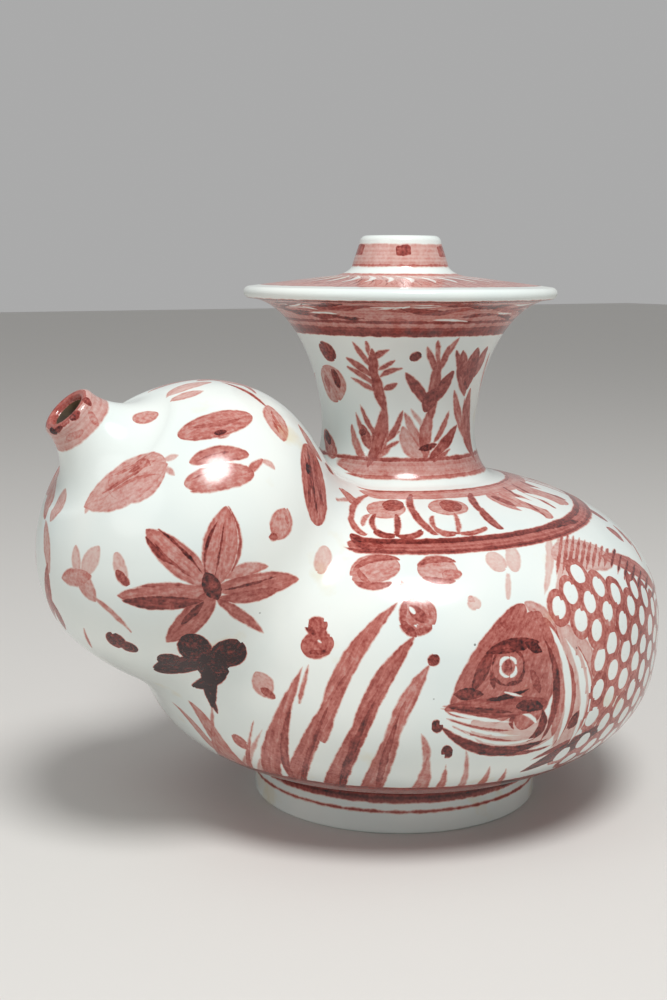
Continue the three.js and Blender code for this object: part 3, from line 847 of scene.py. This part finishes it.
def paint_form(form):
    """Gives each corner of the outside its places on the marks that lie over its face."""
    mesh = form.data
    points = read(mesh.vertices, "co", 3) / MM
    counts = read(mesh.polygons, "loop_total", kind=int)
    corners = read(mesh.loops, "vertex_index", kind=int)
    face_of = np.repeat(np.arange(len(counts)), counts)

    def of_faces(values):
        total = np.zeros((len(counts),) + values.shape[1:])
        np.add.at(total, face_of, values[corners])
        return (total.T / counts).T

    middle, facing = of_faces(points), read(mesh.polygons, "normal", 3)
    vessel_gap, vessel_run = beside(VESSEL_PROFILE, *about_vessel(points))
    spout_gap, spout_run = beside(SPOUT_PROFILE, *about_spout(points))
    clear = spout_gap - vessel_gap
    face_clear, face_run, face_spout_run = of_faces(clear), of_faces(vessel_run), of_faces(spout_run)
    turn, face_turn = turn_of(points), turn_of(middle)
    outer = luted_gap(middle) > INNER_GAP
    above_foot = outer & (face_run > FOOT_LINE)

    bands = np.array(VESSEL_BANDS + SPOUT_BANDS) / (1, 1, 100, 1)
    of_spout = np.arange(len(bands)) >= len(VESSEL_BANDS)
    marks = painting()
    red, bare = [], []
    for number, band in enumerate(bands):
        on_bulb = of_spout[number]
        faces = np.nonzero(outer & ((face_clear < 0) == on_bulb))[0]
        runs = (face_spout_run if on_bulb else face_run)[faces]
        share, across = band_place(band, runs, FAR if on_bulb else face_clear[faces], face_turn[faces])
        red.append(reached(number, depth_in(share, across, band[1], 0, LEAF), faces, band[2]))
    for number, mark in enumerate(marks, len(bands)):
        away = middle - (mark[0:3] + mark[3:6]) / 2
        span = np.linalg.norm(mark[3:6] - mark[0:3]) / 2 + mark[9] + abs(mark[10])
        near = above_foot & ((away ** 2).sum(1) < (span + 4) ** 2) & (facing @ mark[6:9] > GRAZING)
        faces = np.nonzero(near & (np.abs(away @ mark[6:9]) < 4 + span ** 2 / BODY_RADIUS))[0]
        share, across = place_on(mark, middle[faces])
        depth = depth_in(share, across, mark[9], mark[10], ends_at(share, mark[11]))
        (red if mark[12] > 0 else bare).append(reached(number, depth, faces, mark[12]))
    chosen = np.concatenate([foremost(red, LAYERS, len(counts)), foremost(bare, 1, len(counts))])

    for layer, choice in enumerate(chosen[:, face_of]):
        brush = np.tile([0.0, FAR, 0.0], (len(corners), 1))
        touch = np.tile([0.0, 1.0, 0.0], (len(corners), 1))
        at = np.nonzero(choice >= len(bands))[0]
        rows = marks[choice[at] - len(bands)]
        share, across = place_on(rows, points[corners[at]])
        brush[at] = np.stack([share, across, rows[:, 9]], 1)
        touch[at] = np.stack([rows[:, 10], ends_at(share, rows[:, 11]), np.abs(rows[:, 12])], 1)
        at = np.nonzero((choice >= 0) & (choice < len(bands)))[0]
        rows, on_bulb, corner = bands[choice[at]], of_spout[choice[at]], corners[at]
        runs = np.where(on_bulb, spout_run[corner], vessel_run[corner])
        share, across = band_place(rows, runs, np.where(on_bulb, FAR, clear[corner]), turn[corner])
        brush[at] = np.stack([share, across, rows[:, 1]], 1)
        touch[at] = np.stack([np.zeros(len(at)), np.ones(len(at)), rows[:, 2]], 1)
        for name, values in (("brush", brush), ("touch", touch)):
            made = mesh.attributes.new(f"{name}_{layer}", "FLOAT_VECTOR", "CORNER")
            made.data.foreach_set("vector", values.ravel())
    mesh.polygons.foreach_set("material_index", np.where(outer, 0, 1).astype(int))


# Materials. Their patterns are set in spots per mm: clouds 33 mm wide, stains 18 mm, ripples 11 mm, brown
# patches inside 8 mm, pinholes 17 mm apart, and the red's frayed edge 3 mm. The red's grain is drawn 0.8 mm
# wide, since the real grain of a few hundredths of a mm is too fine to show.
CLOUDS, STAINS, RIPPLES, PATCHES, PINHOLES, FRAY, GRAIN = 0.03, 0.055, 0.09, 0.12, 1 / 17, 0.35, 1.3


def linear(code):
    """A colour's linear values from its sRGB hex code."""
    parts = [int(code[i:i + 2], 16) / 255 for i in (1, 3, 5)]
    return tuple(p / 12.92 if p <= 0.04045 else ((p + 0.055) / 1.055) ** 2.4 for p in parts) + (1.0,)


def node(tree, kind, inputs=None, output=0, stops=(), **settings):
    """Adds a node with its settings, links and colour stops of (place, sRGB code), and gives its output."""
    made = tree.nodes.new(kind)
    for name, value in settings.items():
        setattr(made, name, value)
    for socket, value in (inputs or {}).items():
        if isinstance(value, bpy.types.NodeSocket):
            tree.links.new(value, made.inputs[socket])
        else:
            made.inputs[socket].default_value = value
    for number, (place, code) in enumerate(stops):
        steps = made.color_ramp.elements
        step = steps[number] if number < 2 else steps.new(place)
        step.position = place
        step.color = linear(code)
    return made.outputs[output]


def brush_mark():
    """Group that gives the pigment of one mark: pointed or rounded, streaked, and dark where it pools."""
    tree = bpy.data.node_groups.new("brush_mark", "ShaderNodeTree")
    for name in ("brush", "touch"):
        tree.interface.new_socket(name, in_out="INPUT", socket_type="NodeSocketVector")
    tree.interface.new_socket("ragged", in_out="INPUT", socket_type="NodeSocketFloat")
    tree.interface.new_socket("pigment", in_out="OUTPUT", socket_type="NodeSocketFloat")
    given = tree.nodes.new("NodeGroupInput").outputs
    share = node(tree, "ShaderNodeSeparateXYZ", {0: given["brush"]})
    beside_it, half = share.node.outputs[1], share.node.outputs[2]
    bow = node(tree, "ShaderNodeSeparateXYZ", {0: given["touch"]})
    ends, tone = bow.node.outputs[1], bow.node.outputs[2]
    square = node(tree, "ShaderNodeMath", {0: share, 1: share}, operation="MULTIPLY")
    swell = node(tree, "ShaderNodeMath", {0: 1.0, 1: square}, operation="SUBTRACT")
    inner = node(tree, "ShaderNodeMath", {0: swell, 1: 0.0}, operation="MAXIMUM")
    outer = node(tree, "ShaderNodeMath", {0: swell, 1: 0.0}, operation="MINIMUM")
    swollen = node(tree, "ShaderNodeMath", {0: inner, 1: ends}, operation="POWER")
    width = node(tree, "ShaderNodeMath", {0: half, 1: swollen}, operation="MULTIPLY")
    width = node(tree, "ShaderNodeMath", {0: outer, 1: END_FALL, 2: width}, operation="MULTIPLY_ADD")
    line = node(tree, "ShaderNodeMath", {0: bow, 1: swell}, operation="MULTIPLY")
    away = node(tree, "ShaderNodeMath", {0: beside_it, 1: line}, operation="SUBTRACT")
    away = node(tree, "ShaderNodeMath", {0: away}, operation="ABSOLUTE")
    depth = node(tree, "ShaderNodeMath", {0: width, 1: away}, operation="SUBTRACT")
    depth = node(tree, "ShaderNodeMath", {0: depth, 1: given["ragged"]}, operation="ADD")
    cover = node(tree, "ShaderNodeMapRange", {0: depth, 1: -0.30, 2: 0.42}, interpolation_type="SMOOTHSTEP")
    along = node(tree, "ShaderNodeMath", {0: share, 1: 4.0}, operation="MULTIPLY")
    across = node(tree, "ShaderNodeMath", {0: beside_it, 1: 1.1}, operation="MULTIPLY")
    own = node(tree, "ShaderNodeMath", {0: tone, 1: 90.0}, operation="MULTIPLY")
    lane = node(tree, "ShaderNodeCombineXYZ", {0: along, 1: across, 2: own})
    streak = node(tree, "ShaderNodeTexNoise", {"Vector": lane, "Scale": 1.0, "Detail": 2.0})
    streak = node(tree, "ShaderNodeMapRange", {0: streak, 1: 0.3, 2: 0.7, 3: 0.84, 4: 1.12})
    edge = node(tree, "ShaderNodeMapRange", {0: depth, 1: 0.2, 2: 1.2, 3: 0.07, 4: 0.0})
    strength = node(tree, "ShaderNodeMath", {0: tone, 1: streak, 2: edge}, operation="MULTIPLY_ADD")
    pigment = node(tree, "ShaderNodeMath", {0: strength, 1: cover}, operation="MULTIPLY")
    tree.links.new(pigment, tree.nodes.new("NodeGroupOutput").inputs[0])
    return tree


def glaze_base(tree, millimetres):
    """The glaze's own colour: bluish white with yellow stains and small iron pinholes."""
    cloud = node(tree, "ShaderNodeTexNoise", {"Vector": millimetres, "Scale": CLOUDS, "Detail": 2.0})
    white = node(tree, "ShaderNodeValToRGB", {0: cloud}, stops=[(0.35, "#E6EBE6"), (0.65, "#DAE3E0")])
    stain = node(tree, "ShaderNodeTexNoise", {"Vector": millimetres, "Scale": STAINS, "Detail": 4.0})
    stain = node(tree, "ShaderNodeMapRange", {0: stain, 1: 0.63, 2: 0.76, 3: 0.0, 4: 0.5})
    stained = node(tree, "ShaderNodeMix", {0: stain, 6: white, 7: linear("#D9C68F")}, 2, data_type="RGBA")
    hole = node(tree, "ShaderNodeTexVoronoi", {"Vector": millimetres, "Scale": PINHOLES})
    hole = node(tree, "ShaderNodeMapRange", {0: hole, 1: 0.012, 2: 0.024, 3: 0.75, 4: 0.0})
    return node(tree, "ShaderNodeMix", {0: hole, 6: stained, 7: linear("#3A332E")}, 2, data_type="RGBA")


def new_material(name):
    """A material with its tree, its shader and places on the piece in millimetres."""
    material = bpy.data.materials.new(name)
    material.use_nodes = True
    tree = material.node_tree
    place = node(tree, "ShaderNodeTexCoord", output="Object")
    millimetres = node(tree, "ShaderNodeVectorMath", {0: place, "Scale": 1 / MM}, operation="SCALE")
    return material, tree, tree.nodes["Principled BSDF"], millimetres


def painted_glaze():
    """White porcelain glaze over copper red painting, which bleeds, grains and pools as it fires. The glaze
    gives a smooth, wet shine over a skin that ripples slightly."""
    material, tree, shader, millimetres = new_material("glossy_glaze_over_copper_red")
    coarse = node(tree, "ShaderNodeTexNoise", {"Vector": millimetres, "Scale": FRAY, "Detail": 2.0})
    fine = node(tree, "ShaderNodeTexNoise", {"Vector": millimetres, "Scale": GRAIN, "Detail": 2.0})
    ragged = node(tree, "ShaderNodeMath", {0: coarse, 1: 0.8, 2: -0.50}, operation="MULTIPLY_ADD")
    ragged = node(tree, "ShaderNodeMath", {0: fine, 1: 0.2, 2: ragged}, operation="MULTIPLY_ADD")
    group = brush_mark()
    pigment = None
    for layer in range(LAYERS + 1):
        brush = node(tree, "ShaderNodeAttribute", output="Vector", attribute_name=f"brush_{layer}")
        touch = node(tree, "ShaderNodeAttribute", output="Vector", attribute_name=f"touch_{layer}")
        mark = tree.nodes.new("ShaderNodeGroup")
        mark.node_tree = group
        for name, value in (("brush", brush), ("touch", touch), ("ragged", ragged)):
            tree.links.new(value, mark.inputs[name])
        mark = mark.outputs[0]
        if layer == LAYERS:
            kept = node(tree, "ShaderNodeMapRange", {0: mark, 1: 0.1, 2: 0.9, 3: 1.0, 4: 0.0})
            pigment = node(tree, "ShaderNodeMath", {0: pigment, 1: kept}, operation="MULTIPLY")
        elif pigment is None:
            pigment = mark
        else:
            pigment = node(tree, "ShaderNodeMath", {0: pigment, 1: mark}, operation="MAXIMUM")
    grain = node(tree, "ShaderNodeMapRange", {0: fine, 1: 0.3, 2: 0.7, 3: 0.90, 4: 1.10})
    pool = node(tree, "ShaderNodeMapRange", {0: coarse, 1: 0.3, 2: 0.7, 3: 0.90, 4: 1.08})
    pigment = node(tree, "ShaderNodeMath", {0: pigment, 1: grain}, operation="MULTIPLY")
    pigment = node(tree, "ShaderNodeMath", {0: pigment, 1: pool}, operation="MULTIPLY")
    red = node(tree, "ShaderNodeValToRGB", {0: pigment}, stops=[
        (0.0, "#FFFFFF"), (0.12, "#F7E6E1"), (0.32, "#EBC0BA"), (0.52, "#CF7A71"), (0.68, "#A84A43"),
        (0.84, "#742D2A"), (1.0, "#331519"),
    ])
    base = glaze_base(tree, millimetres)
    colour = node(tree, "ShaderNodeMix", {0: 1.0, 6: base, 7: red}, 2, data_type="RGBA",
                  blend_type="MULTIPLY")
    ripple = node(tree, "ShaderNodeTexNoise", {"Vector": millimetres, "Scale": RIPPLES, "Detail": 1.0})
    bump = node(tree, "ShaderNodeBump", {"Height": ripple, "Strength": 0.25, "Distance": 0.0006})
    tree.links.new(colour, shader.inputs["Base Color"])
    tree.links.new(bump, shader.inputs["Normal"])
    shader.inputs["Roughness"].default_value = 0.16
    shader.inputs["IOR"].default_value = 1.5
    return material


def bare_body_with_painted_shade():
    """Unglazed porcelain inside the vessel: matt and brown from its iron, and darkened further as painted
    shade for the dim inside of mouth and nozzle.
    """
    material, tree, shader, millimetres = new_material("matt_unglazed_porcelain_with_painted_shade")
    stain = node(tree, "ShaderNodeTexNoise", {"Vector": millimetres, "Scale": PATCHES, "Detail": 3.0})
    # Dark browns: the bare body's own iron brown, with painted shade of the hollows darkening it
    colour = node(tree, "ShaderNodeValToRGB", {0: stain}, stops=[(0.35, "#4E4338"), (0.65, "#8F7A58")])
    tree.links.new(colour, shader.inputs["Base Color"])
    shader.inputs["Roughness"].default_value = 0.75
    return material


make_camera()
form = make_form()
form.data.materials.clear()
form.data.materials.append(painted_glaze())
form.data.materials.append(bare_body_with_painted_shade())
paint_form(form)
form.data.shade_smooth()
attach(form, "root")
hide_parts("kendi")


# Floor and light

def make_floor():
    """A pale, matt floor that reaches past the picture's edge."""
    bpy.ops.mesh.primitive_plane_add(size=8)
    floor = bpy.context.object
    floor.name = "floor"
    material = bpy.data.materials.new("matt_pale_floor")
    material.use_nodes = True
    shader = material.node_tree.nodes["Principled BSDF"]
    shader.inputs["Base Color"].default_value = linear("#D6D4D0")
    shader.inputs["Roughness"].default_value = 0.8
    floor.data.materials.append(material)


def make_light(name, turn, rise, away, size, power):
    """A round soft light at a turn and rise in degrees from the vessel, turned towards it."""
    data = bpy.data.lights.new(name, "AREA")
    data.shape = "DISK"
    data.size = size
    data.energy = power
    lamp = bpy.data.objects.new(name, data)
    bpy.context.scene.collection.objects.link(lamp)
    turn, rise = math.radians(turn), math.radians(rise)
    direction = Vector((math.cos(turn) * math.cos(rise), math.sin(turn) * math.cos(rise), math.sin(rise)))
    aim = Vector((VESSEL_X * MM, 0, 0.09))
    lamp.location = aim + direction * away
    lamp.rotation_euler = direction.to_track_quat("Z", "Y").to_euler()


# Colours are shown as they are, not flattened as for film
bpy.context.scene.view_settings.view_transform = "Standard"
make_floor()
make_light("key", 72, 60, 1.1, 0.4, 10)
make_light("fill", 5, 30, 1.3, 0.8, 1.8)
world = bpy.context.scene.world or bpy.data.worlds.new("studio")
bpy.context.scene.world = world
world.use_nodes = True
world.node_tree.nodes["Background"].inputs[0].default_value = linear("#E8E8E8")
world.node_tree.nodes["Background"].inputs[1].default_value = 0.5
